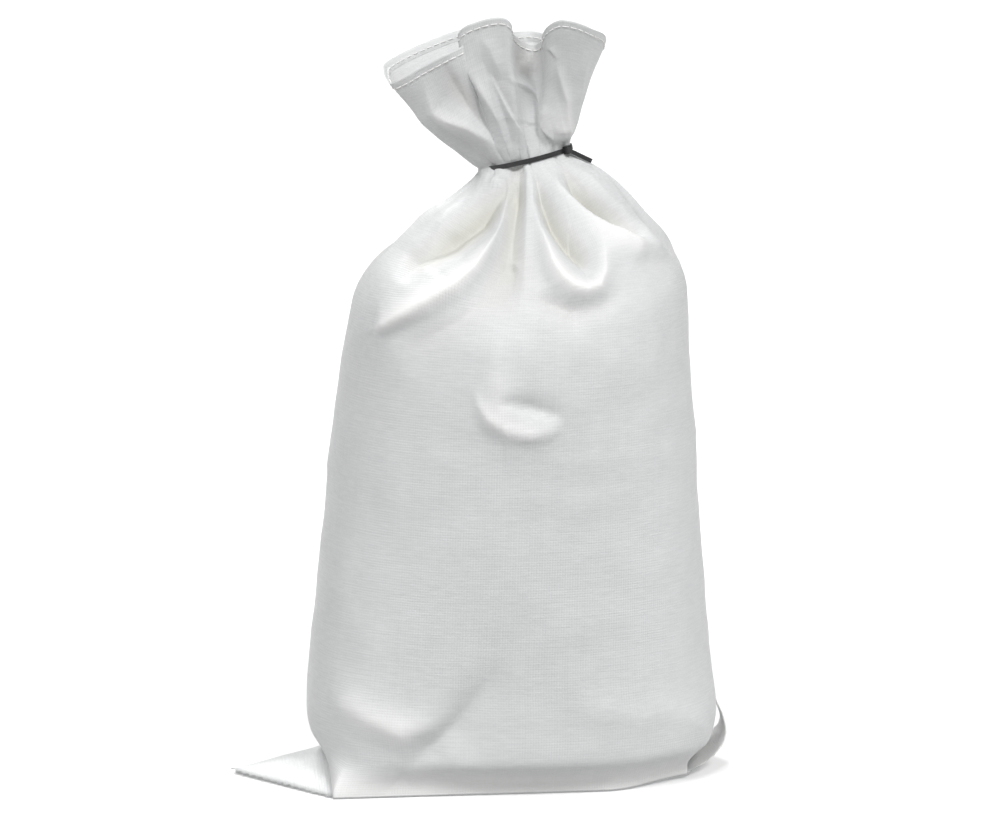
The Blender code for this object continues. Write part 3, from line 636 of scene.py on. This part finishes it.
def folded(grid, first_body, first_mouth, places):
    """The grid with its folds, pleats and unevenness, and how much painted shade each place has in its
    valleys, and how much painted light on its crests, foot and right ear.
    """
    normal = normals_of(grid)
    pixels = seen(grid)
    view = EYE - grid
    view /= np.linalg.norm(view, axis=2, keepdims=True)
    facing = ease((normal * view).sum(axis=2) / FACING_FULL)
    rows = len(grid)
    rise = np.zeros((rows, len(places)))

    body = np.zeros((rows, 1))
    body[first_body:first_mouth] = 1.0
    mouth = np.zeros((rows, 1))
    mouth[first_mouth:] = 1.0
    for one in BODY_FOLDS:
        rise += fold_height(pixels, **one) / 1000.0 * facing * body
    for one in MOUTH_FOLDS:
        rise += fold_height(pixels, **one) / 1000.0 * facing * mouth

    degrees = np.degrees(2.0 * math.pi * places)[None, :] + np.zeros((rows, 1))
    unrolled = np.stack([np.radians(degrees) * ROUND_SCALE, -grid[..., 2] * 1000.0], axis=-1)
    for one in SHOULDER_FOLDS:
        path = [(math.radians(angle) * ROUND_SCALE, -height, lift) for angle, height, lift in one["path"]]
        rise += fold_height(unrolled, **{**one, "path": path}) / 1000.0 * (1.0 - facing) * body

    below = np.maximum(NECK_CENTRE[2] - grid[..., 2], 0.0) * body
    above = np.linalg.norm(grid - grid[first_mouth], axis=2) * mouth
    away = below + above
    near = np.concatenate([np.zeros((first_body, 1)), np.ones((rows - first_body, 1))])
    small = pleated(places, SMALL_PLEATS, SEED)[None, :]
    large = pleated(places, LARGE_PLEATS, SEED + 1)[None, :]
    rise -= SMALL_DEPTH * small * np.exp(-away / SMALL_FADE) * near * (1.0 - SMALL_LOST * facing)
    swell = np.exp(-away / LARGE_FADE) * (1.0 - np.exp(-away / LARGE_STARTS))
    rise -= LARGE_DEPTH * large * swell * near * (1.0 - LARGE_LOST * facing)

    uneven = SLOW_HEIGHT * noise_field(grid, SLOW_SIZE, 1)
    uneven = uneven + MIDDLING_HEIGHT * noise_field(grid, MIDDLING_SIZE, 2)
    settle = ease((grid[..., 2] - SETTLE_ABOVE_FLOOR) / SETTLE_OVER)
    settle = settle * ease((away - SETTLE_FROM_TIE) / SETTLE_OVER)
    rise += uneven * settle * near
    throat = ease((away - TIE_CLEAR) / TIE_CLEAR_OVER)
    rise = np.where(near > 0, np.minimum(rise, 0.0) + np.maximum(rise, 0.0) * throat, 0.0)
    lap = np.exp(-(((degrees - LAP_AT) / LAP_HALF) ** 2)) * np.exp(-((away / LAP_FADE) ** 2)) * near
    rise += LAP_DEPTH * lap
    floor_room = ease((grid[..., 2] - FLOOR_CLEAR) / FLOOR_CLEAR_OVER)
    rise = rise * np.where(body > 0, floor_room, 1.0)

    # painted shade: the colour is darkened and warmed in the valleys of the relief, standing in for their
    # shade
    painted_shade = np.clip(-rise / HOLLOW_DEPTH, 0.0, 1.0) * np.exp(-below / HOLLOW_FADE) * near
    # painted highlight: the colour is made paler on the crests of the relief
    crest = np.clip((rise - CREST_FROM) / CREST_HEIGHT, 0.0, 1.0) * near
    # painted light: the right ear and the foot near the floor are made paler, as if lit by a pale floor
    ear_painted_light = ease((grid[..., 0] - RIGHT_BASE) / EAR_PALE_OVER) * (1.0 - near)
    foot_painted_light = FOOT_PAINTED_LIGHT * (1.0 - ease((grid[..., 2] - FOOT_PALE_TO) / FOOT_PALE_OVER))
    crest = np.maximum(crest, np.where(body > 0, foot_painted_light, ear_painted_light))
    return grid + normal * rise[..., None], painted_shade, crest


def down_from_edge(grid, drops):
    """For each drop, the points that far down the cloth from the mouth's edge, and the normals there."""
    upside = grid[::-1]
    normal = normals_of(grid)[::-1]
    steps = np.linalg.norm(np.diff(upside, axis=0), axis=2)
    length = np.concatenate([np.zeros((1, grid.shape[1])), np.cumsum(steps, axis=0)])
    column = np.arange(grid.shape[1])
    for drop in drops:
        index = np.clip((length < drop).sum(axis=0) - 1, 0, len(grid) - 2)
        share = (drop - length[index, column]) / (length[index + 1, column] - length[index, column])
        yield between(upside[index, column], upside[index + 1, column], share[:, None]), normal[index, column]


def hemmed(grid):
    """The grid with rows added past the rim that turn the cloth in and down inside the mouth."""
    drops, gaps = zip(*HEM_ROWS)
    added = [point - normal * gap for gap, (point, normal) in zip(gaps, down_from_edge(grid, drops))]
    return np.concatenate([grid, np.array(added)])


def grid_mesh(name, grid, flat_u, flat_v, material):
    """A mesh of a grid that closes round its columns, with the cloth's own places in metres as its UV map."""
    rows, columns = grid.shape[:2]
    mesh = bpy.data.meshes.new(name)
    index = np.arange(rows * columns).reshape(rows, columns)
    following = np.roll(index, -1, axis=1)
    quads = np.stack([index[:-1], following[:-1], following[1:], index[1:]], axis=-1).reshape(-1, 4)
    mesh.vertices.add(rows * columns)
    mesh.vertices.foreach_set("co", grid.astype(np.float32).ravel())
    mesh.loops.add(quads.size)
    mesh.loops.foreach_set("vertex_index", quads.astype(np.int32).ravel())
    mesh.polygons.add(len(quads))
    mesh.polygons.foreach_set("loop_start", np.arange(0, quads.size, 4, dtype=np.int32))
    mesh.update(calc_edges=True)
    u = np.broadcast_to(flat_u, (rows, columns))
    next_u = np.broadcast_to(np.concatenate([flat_u[1:], [flat_u[0] + 2 * FLAT_WIDTH]]), (rows, columns))
    v = np.broadcast_to(flat_v[:, None], (rows, columns))
    corners = [(u[:-1], v[:-1]), (next_u[:-1], v[:-1]), (next_u[1:], v[1:]), (u[1:], v[1:])]
    uvs = np.stack([np.stack(pair, axis=-1) for pair in corners], axis=2).reshape(-1, 2)
    layer = mesh.uv_layers.new(name="cloth")
    layer.data.foreach_set("uv", uvs.astype(np.float32).ravel())
    mesh.shade_smooth()
    mesh.materials.append(material)
    return linked(name, mesh)


# Materials

class Nodes:
    """Short names for building a material's nodes."""

    def __init__(self, name):
        self.material = bpy.data.materials.new(name)
        self.material.use_nodes = True
        self.tree = self.material.node_tree
        self.shader = self.tree.nodes["Principled BSDF"]

    def link(self, source, target):
        self.tree.links.new(source, target)

    def feed(self, socket, value):
        if isinstance(value, bpy.types.NodeSocket):
            self.link(value, socket)
        else:
            socket.default_value = value

    def field(self, name):
        node = self.tree.nodes.new("ShaderNodeAttribute")
        node.attribute_name = name
        return node.outputs["Fac"]

    def math(self, operation, first, second=0.0):
        node = self.tree.nodes.new("ShaderNodeMath")
        node.operation = operation
        self.feed(node.inputs[0], first)
        self.feed(node.inputs[1], second)
        return node.outputs[0]

    def noise(self, vector, scale, detail=2.0, roughness=0.5):
        node = self.tree.nodes.new("ShaderNodeTexNoise")
        self.feed(node.inputs["Vector"], vector)
        node.inputs["Scale"].default_value = scale
        node.inputs["Detail"].default_value = detail
        node.inputs["Roughness"].default_value = roughness
        return node.outputs["Fac"]

    def stretched(self, vector, scale):
        node = self.tree.nodes.new("ShaderNodeMapping")
        self.feed(node.inputs["Vector"], vector)
        node.inputs["Scale"].default_value = scale
        return node.outputs[0]

    def ramp(self, value, low, high, start, end):
        node = self.tree.nodes.new("ShaderNodeMapRange")
        self.feed(node.inputs["Value"], value)
        for key, number in (("From Min", low), ("From Max", high), ("To Min", start), ("To Max", end)):
            node.inputs[key].default_value = number
        return node.outputs[0]

    def mix(self, share, first, second):
        node = self.tree.nodes.new("ShaderNodeMix")
        node.data_type = "RGBA"
        self.feed(node.inputs["Factor"], share)
        self.feed(node.inputs[6], first)
        self.feed(node.inputs[7], second)
        return node.outputs[2]

    def bump(self, height, strength, distance, normal=None):
        node = self.tree.nodes.new("ShaderNodeBump")
        self.feed(node.inputs["Height"], height)
        node.inputs["Strength"].default_value = strength
        node.inputs["Distance"].default_value = distance
        if normal is not None:
            self.link(normal, node.inputs["Normal"])
        return node.outputs[0]


# The cloth's colours (linear), and the sizes of what varies over it, in lumps a metre across and along it.
TAPE = 0.0026  # width of one woven tape
CLOTH_LIGHT = (0.640, 0.648, 0.648, 1.0)
CLOTH_SHADE = (0.585, 0.595, 0.597, 1.0)
WARP_COLOUR = (0.74, 0.745, 0.745, 1.0)
GAP_COLOUR = (0.50, 0.51, 0.515, 1.0)
CLOUD_COLOUR = (0.74, 0.75, 0.76, 1.0)
SLUB_LIGHT = (0.78, 0.785, 0.785, 1.0)
SLUB_DARK = (0.53, 0.54, 0.545, 1.0)
# painted shade in the valleys
PAINTED_SHADE_COLOUR = (0.47, 0.455, 0.385, 1.0)
# painted highlight on the crests, and painted light on the foot and the right ear
PAINTED_HIGHLIGHT_COLOUR = (0.90, 0.90, 0.885, 1.0)
UP_STREAKS = (380.0, 6.0, 1.0)
SIDE_STREAKS = (6.0, 380.0, 1.0)
CRINKLES = (70.0, 110.0, 1.0)
SLUBS = (55.0, 560.0, 1.0)
GLOSS_SPOTS = (140.0, 140.0, 1.0)
CLOUDS = 9.0
CLOTH_ROUGHNESS = (0.42, 0.58)


def cloth_material():
    """White woven tape: over and under, with slubs, streaks and clouds, with painted shade in its valleys,
    painted highlights on its crests and painted light on its foot and right ear.
    """
    n = Nodes("woven_cloth")
    uv = n.tree.nodes.new("ShaderNodeUVMap")
    uv.uv_map = "cloth"
    flat = uv.outputs[0]
    parts = n.tree.nodes.new("ShaderNodeSeparateXYZ")
    n.link(flat, parts.inputs[0])
    u = n.math("DIVIDE", parts.outputs[0], TAPE)
    v = n.math("DIVIDE", parts.outputs[1], TAPE)
    over = n.math("MULTIPLY", n.math("SINE", n.math("MULTIPLY", u, math.pi)),
                  n.math("SINE", n.math("MULTIPLY", v, math.pi)))
    weave = n.math("POWER", n.math("ABSOLUTE", over), 0.7)
    warp_up = n.ramp(over, -1.0, 1.0, 0.0, 1.0)
    streaks = n.math("ADD", n.noise(n.stretched(flat, UP_STREAKS), 1.0, 3.0),
                     n.noise(n.stretched(flat, SIDE_STREAKS), 1.0, 3.0))
    crinkle = n.noise(n.stretched(flat, CRINKLES), 1.0, 1.0, 0.4)
    cloudy = n.noise(flat, CLOUDS, 3.0, 0.6)
    slub = n.noise(n.stretched(flat, SLUBS), 1.0, 2.0, 0.6)

    colour = n.mix(n.ramp(streaks, 0.55, 1.45, 0.0, 1.0), CLOTH_SHADE, CLOTH_LIGHT)
    colour = n.mix(n.math("MULTIPLY", warp_up, 0.16), colour, WARP_COLOUR)
    colour = n.mix(n.ramp(weave, 0.0, 0.35, 0.10, 0.0), colour, GAP_COLOUR)
    colour = n.mix(n.ramp(cloudy, 0.35, 0.70, 0.0, 0.20), colour, CLOUD_COLOUR)
    colour = n.mix(n.ramp(slub, 0.45, 0.75, 0.0, 0.30), colour, SLUB_LIGHT)
    colour = n.mix(n.ramp(slub, 0.50, 0.25, 0.0, 0.20), colour, SLUB_DARK)
    # painted shade: darker, warmer colour in the valleys
    colour = n.mix(n.math("MULTIPLY", n.field("painted_shade"), 0.80), colour, PAINTED_SHADE_COLOUR)
    # painted highlight on the crests, and painted light on the foot and the right ear, all from one mask
    colour = n.mix(n.math("MULTIPLY", n.field("crest"), 0.75), colour, PAINTED_HIGHLIGHT_COLOUR)
    n.link(colour, n.shader.inputs["Base Color"])
    gloss = n.ramp(n.noise(n.stretched(flat, GLOSS_SPOTS), 1.0, 2.0), 0.3, 0.7, *CLOTH_ROUGHNESS)
    n.link(gloss, n.shader.inputs["Roughness"])
    n.shader.inputs["Specular IOR Level"].default_value = 0.40
    n.shader.inputs["Sheen Weight"].default_value = 0.10
    n.shader.inputs["Sheen Roughness"].default_value = 0.4
    coarse = n.bump(crinkle, 0.35, 0.0010)
    lines = n.bump(streaks, 0.35, 0.0004, coarse)
    n.link(n.bump(weave, 0.45, 0.00030, lines), n.shader.inputs["Normal"])
    return n.material


THREAD_DARK = (0.80, 0.80, 0.78, 1.0)
THREAD_LIGHT = (0.93, 0.93, 0.91, 1.0)
NYLON_DARK = (0.012, 0.012, 0.013, 1.0)
NYLON_LIGHT = (0.035, 0.035, 0.037, 1.0)


def thread_material():
    n = Nodes("thread")
    place = n.tree.nodes.new("ShaderNodeTexCoord").outputs["Object"]
    twist = n.noise(n.stretched(place, (900.0, 900.0, 900.0)), 1.0, 2.0)
    n.link(n.mix(twist, THREAD_DARK, THREAD_LIGHT), n.shader.inputs["Base Color"])
    n.shader.inputs["Roughness"].default_value = 0.55
    n.link(n.bump(twist, 0.6, 0.0002), n.shader.inputs["Normal"])
    return n.material


def nylon_material():
    n = Nodes("nylon")
    place = n.tree.nodes.new("ShaderNodeTexCoord").outputs["Object"]
    grain = n.noise(place, 700.0, 3.0)
    scuff = n.noise(n.stretched(place, (60.0, 60.0, 240.0)), 1.0, 4.0, 0.65)
    n.link(n.mix(n.ramp(scuff, 0.5, 0.8, 0.0, 1.0), NYLON_DARK, NYLON_LIGHT), n.shader.inputs["Base Color"])
    n.link(n.ramp(grain, 0.3, 0.7, 0.34, 0.52), n.shader.inputs["Roughness"])
    n.link(n.bump(grain, 0.35, 0.0002), n.shader.inputs["Normal"])
    return n.material


# Stitches

THREAD_RADIUS = 0.00055
THREAD_SIDES = 6
THREAD_END = 0.55  # share of the radius at a stitch's ends
STITCH_LENGTH = 0.0070
STITCH_GAP = 0.0016
STITCH_SHAPE = (  # share of the way along, share of the lift above the cloth
    (0.0, -0.3),
    (0.12, 0.6),
    (0.37, 1.0),
    (0.63, 1.0),
    (0.88, 0.6),
    (1.0, -0.3),
)
HEM_STITCH_DROP = 0.0068  # how far below the mouth's edge the hem's stitches run
HEM_STITCH_LIFT = 1.1 * THREAD_RADIUS
SEAM_ENDS = (-0.278, 0.176)
SEAM_POINTS = 60
SEAM_HEIGHT = 0.0016
SEAM_STITCH_LIFT = 0.6 * THREAD_RADIUS


def stitch_mesh(name, runs, material):
    """One mesh of short round stitches, each given as its points."""
    sides = THREAD_SIDES
    verts, faces = [], []
    for run in runs:
        run = np.asarray(run)
        base = len(verts)
        count = len(run)
        for k, point in enumerate(run):
            ahead = run[min(k + 1, count - 1)] - run[max(k - 1, 0)]
            ahead = ahead / np.linalg.norm(ahead)
            side = np.cross(ahead, (0.0, 0.0, 1.0) if abs(ahead[2]) < 0.9 else (1.0, 0.0, 0.0))
            side /= np.linalg.norm(side)
            over = np.cross(side, ahead)
            taper = THREAD_RADIUS * (THREAD_END if k in (0, count - 1) else 1.0)
            for j in range(sides):
                turn = 2.0 * math.pi * j / sides
                verts.append(point + taper * (math.cos(turn) * side + math.sin(turn) * over))
        for k in range(count - 1):
            for j in range(sides):
                a, b = base + k * sides + j, base + k * sides + (j + 1) % sides
                faces.append((a, b, b + sides, a + sides))
        faces.append(tuple(base + j for j in reversed(range(sides))))
        faces.append(tuple(base + (count - 1) * sides + j for j in range(sides)))
    mesh = bpy.data.meshes.new(name)
    mesh.from_pydata([tuple(v) for v in verts], [], faces)
    mesh.shade_smooth()
    mesh.materials.append(material)
    return linked(name, mesh)


def dashes(line, normal, lift):
    """Stitches along a line of points: each rises out of the cloth, lies on it and goes back in."""
    steps = np.linalg.norm(np.diff(line, axis=0), axis=1)
    length = np.concatenate([[0.0], np.cumsum(steps)])
    along, raised = np.array(STITCH_SHAPE).T
    runs = []
    start = 0.0
    while start + STITCH_LENGTH < length[-1]:
        at = start + STITCH_LENGTH * along
        point = np.stack([np.interp(at, length, line[:, k]) for k in range(3)], axis=1)
        out = np.stack([np.interp(at, length, normal[:, k]) for k in range(3)], axis=1)
        runs.append(point + out * raised[:, None] * lift)
        start += STITCH_LENGTH + STITCH_GAP
    return runs


def hem_stitches(grid, material):
    """Stitches round the hem, outside and inside."""
    line, out = next(down_from_edge(grid, [HEM_STITCH_DROP]))
    line = np.concatenate([line, line[:1]])
    out = np.concatenate([out, out[:1]])
    runs = dashes(line, out, HEM_STITCH_LIFT)
    runs += dashes(line - out * HEM_GAP, -out, HEM_STITCH_LIFT)
    return stitch_mesh("hem_stitches", runs, material)


def bottom_stitches(material):
    """Stitches along the sewn bottom, in the channel that the seam leaves under the sack."""
    across = np.linspace(*SEAM_ENDS, SEAM_POINTS)
    line = np.stack([across, np.zeros(SEAM_POINTS), np.full(SEAM_POINTS, SEAM_HEIGHT)], axis=1)
    down = np.tile(np.array([0.0, 0.0, -1.0]), (SEAM_POINTS, 1))
    return stitch_mesh("bottom_stitches", dashes(line, down, SEAM_STITCH_LIFT), material)


# Stage

FLOOR_SIZE = 80.0
FLOOR_DROP = 0.0005
FLOOR_COLOUR = (0.96, 0.96, 0.96, 1.0)
DOME_LIGHT = (  # how far up a direction points (-1 straight down, 1 straight up), strength of the dome there
    (-1.0, 0.95),
    (-0.5, 0.58),
    (-0.12, 0.24),
    (0.0, 0.20),
    (1.0, 0.44),
)
SOFT_BOXES = (  # name, place, what it is aimed at, its two sides, power
    ("left_box", (-2.2, -0.5, 1.3), (0.0, 0.0, 0.35), (0.7, 1.8), 4.5),
    ("right_box", (2.2, -0.4, 1.2), (0.0, 0.0, 0.35), (0.7, 1.8), 4.5),
    ("left_low", (-1.6, -0.7, 0.28), (-0.1, 0.0, 0.10), (0.5, 0.4), 1.2),
    ("right_low", (1.6, -0.7, 0.28), (0.1, 0.0, 0.10), (0.5, 0.4), 2.6),
    ("overhead", (0.0, -0.45, 2.4), (0.0, 0.0, 0.55), (1.3, 0.4), 3.0),
)
SOFT_SUNS = (  # name, where it comes from, its strength
    ("key", (-0.55, -1.0, 1.16), 1.42),
    ("key", (0.55, -1.0, 1.16), 1.56),
    ("back", (-0.2, 0.9, 0.9), 1.5),
)
SUN_ANGLE = math.radians(18.0)


def make_floor():
    """A plain pale floor. Diffuse rays pass through it: the dome below it stands in for its light."""
    bpy.ops.mesh.primitive_plane_add(size=FLOOR_SIZE, location=(0.0, 0.0, -FLOOR_DROP))
    floor = bpy.context.object
    floor.name = "floor"
    n = Nodes("floor")
    n.shader.inputs["Base Color"].default_value = FLOOR_COLOUR
    n.shader.inputs["Roughness"].default_value = 0.95
    n.shader.inputs["Specular IOR Level"].default_value = 0.1
    floor.data.materials.append(n.material)
    floor.visible_diffuse = False


def area_light(name, place, aim, size, power):
    data = bpy.data.lights.new(name, "AREA")
    data.shape = "RECTANGLE"
    data.size, data.size_y = size
    data.energy = power
    light = linked(name, data)
    light.location = place
    light.rotation_euler = (Vector(aim) - Vector(place)).to_track_quat("-Z", "Y").to_euler()


def sun_light(name, coming_from, strength):
    data = bpy.data.lights.new(name, "SUN")
    data.energy = strength
    data.angle = SUN_ANGLE
    light = linked(name, data)
    light.rotation_euler = Vector(coming_from).to_track_quat("Z", "Y").to_euler()


def make_light():
    """A dome that is dim at the horizon and brightest from below, with soft boxes and three soft suns."""
    world = bpy.data.worlds.new("studio")
    bpy.context.scene.world = world
    world.use_nodes = True
    tree = world.node_tree
    background = tree.nodes["Background"]
    direction = tree.nodes.new("ShaderNodeTexCoord")
    parts = tree.nodes.new("ShaderNodeSeparateXYZ")
    tree.links.new(direction.outputs["Generated"], parts.inputs[0])
    climb = tree.nodes.new("ShaderNodeFloatCurve")
    shape = climb.mapping.curves[0]
    for point, (up, strength) in zip((shape.points[0], shape.points[1]), (DOME_LIGHT[0], DOME_LIGHT[-1])):
        point.location = (0.5 + 0.5 * up, strength)
    for up, strength in DOME_LIGHT[1:-1]:
        shape.points.new(0.5 + 0.5 * up, strength)
    climb.mapping.use_clip = False
    climb.mapping.update()
    height = tree.nodes.new("ShaderNodeMapRange")
    height.inputs["From Min"].default_value = -1.0
    tree.links.new(parts.outputs[2], height.inputs["Value"])
    tree.links.new(height.outputs[0], climb.inputs["Value"])
    tree.links.new(climb.outputs[0], background.inputs["Strength"])
    background.inputs["Color"].default_value = (1.0, 1.0, 1.0, 1.0)
    for name, place, aim, size, power in SOFT_BOXES:
        area_light(name, place, aim, size, power)
    for name, coming_from, strength in SOFT_SUNS:
        sun_light(name, coming_from, strength)
    bpy.context.scene.view_settings.view_transform = "Standard"


def main():
    make_camera()
    make_floor()
    make_light()
    cloth, thread, nylon = cloth_material(), thread_material(), nylon_material()

    places = np.arange(COLUMNS) / COLUMNS
    places -= CROWDING / math.tau * np.sin(math.tau * places)
    bottom = bottom_rows(BOTTOM_ROWS, places)
    heights = body_heights()
    body = body_rows(heights, places, bottom[-1])
    mouth = mouth_rows(np.linspace(0.0, 1.0, int(MOUTH_ROWS * FINE)), places)
    grid = np.concatenate([bottom, body, mouth])
    first_mouth = len(bottom) + len(body)
    grid, painted_shade, crest = folded(grid, len(bottom), first_mouth, places)
    sheet = hemmed(grid)
    # the cloth's own place along its length: the mean way from row to row
    steps = np.linalg.norm(np.diff(sheet, axis=0), axis=2).mean(axis=1)
    flat_v = np.concatenate([[0.0], np.cumsum(steps)])
    sack = grid_mesh("sack_cloth", sheet, places * 2 * FLAT_WIDTH, flat_v, cloth)
    # the masks of painted shade and painted light, stored for the cloth's colour
    for name, values in (("painted_shade", painted_shade), ("crest", crest)):
        field = np.zeros(sheet.shape[:2], np.float32)
        field[: len(values)] = values
        sack.data.attributes.new(name, "FLOAT", "POINT").data.foreach_set("value", field.ravel())
    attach(sack, "root")
    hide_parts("sack")

    hem = hem_stitches(grid, thread)
    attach(hem, "root")
    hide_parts("hem_thread")
    seam = bottom_stitches(thread)
    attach(seam, "root")
    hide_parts("bottom_seam_thread")

    tie = bpy.data.objects["cable_tie"]
    for slot in tie.material_slots:
        slot.material = nylon


main()
